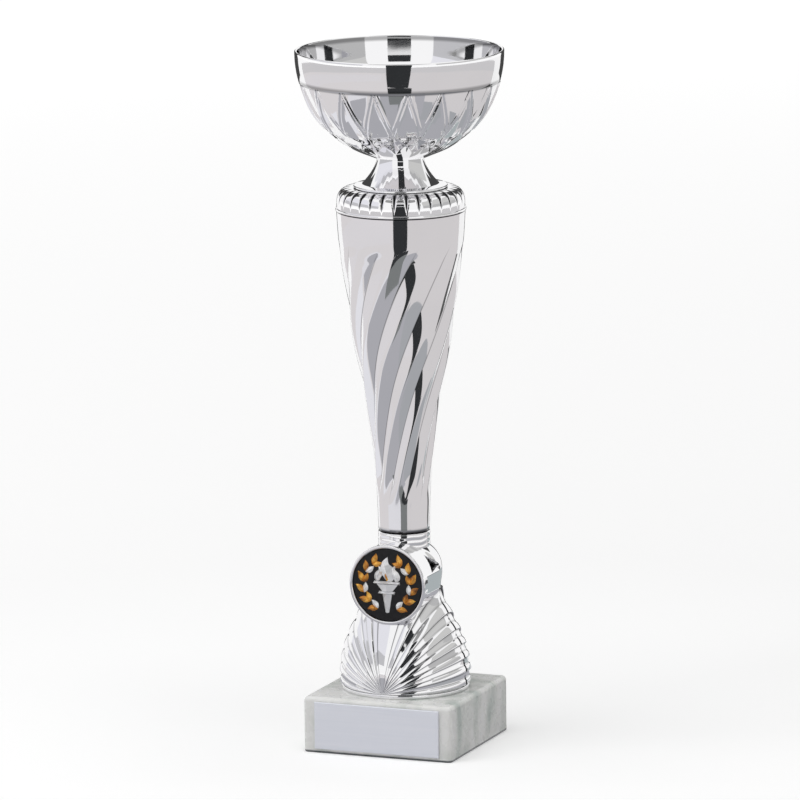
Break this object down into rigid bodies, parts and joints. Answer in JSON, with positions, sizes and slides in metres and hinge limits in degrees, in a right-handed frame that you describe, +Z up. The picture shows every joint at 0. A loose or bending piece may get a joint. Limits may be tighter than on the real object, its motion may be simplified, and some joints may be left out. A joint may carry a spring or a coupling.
{
  "type": "column trophy",
  "caption": "Silver-plated award cup on a twisted tapering column and fan-ribbed riser with a round centre, bolted to a marble block with a blank engraving plate.",
  "frame": {"origin": "middle of the underside of the marble block, on the surface the trophy stands on", "axes": "+Z up along the tie rod and the cup, -Y to the front (centre disc and engraving plate), +X to the right of someone facing the front from -Y"},
  "size_m": [0.07, 0.07, 0.236],
  "materials": {
    "marble": "polished",
    "plate_silver": "satin",
    "adhesive_film": "matte",
    "bright_silver": "polished",
    "centre_black": "gloss",
    "zinc_steel": "zinc plated",
    "insert_brass": "turned"
  },
  "bodies": {
    "root": {"marble_base": "marble", "engraving_plate": "plate_silver", "plate_adhesive": "adhesive_film", "riser": "bright_silver", "disc_adhesive": "adhesive_film", "centre_disc": "centre_black", "column": "bright_silver", "column_cap": "bright_silver", "cup_foot": "bright_silver", "bowl": "bright_silver", "threaded_rod": "zinc_steel", "base_washer": "zinc_steel", "base_nut": "zinc_steel", "foot_insert": "insert_brass", "bowl_washer": "zinc_steel", "bowl_screw": "zinc_steel"}
  },
  "joints": []
}
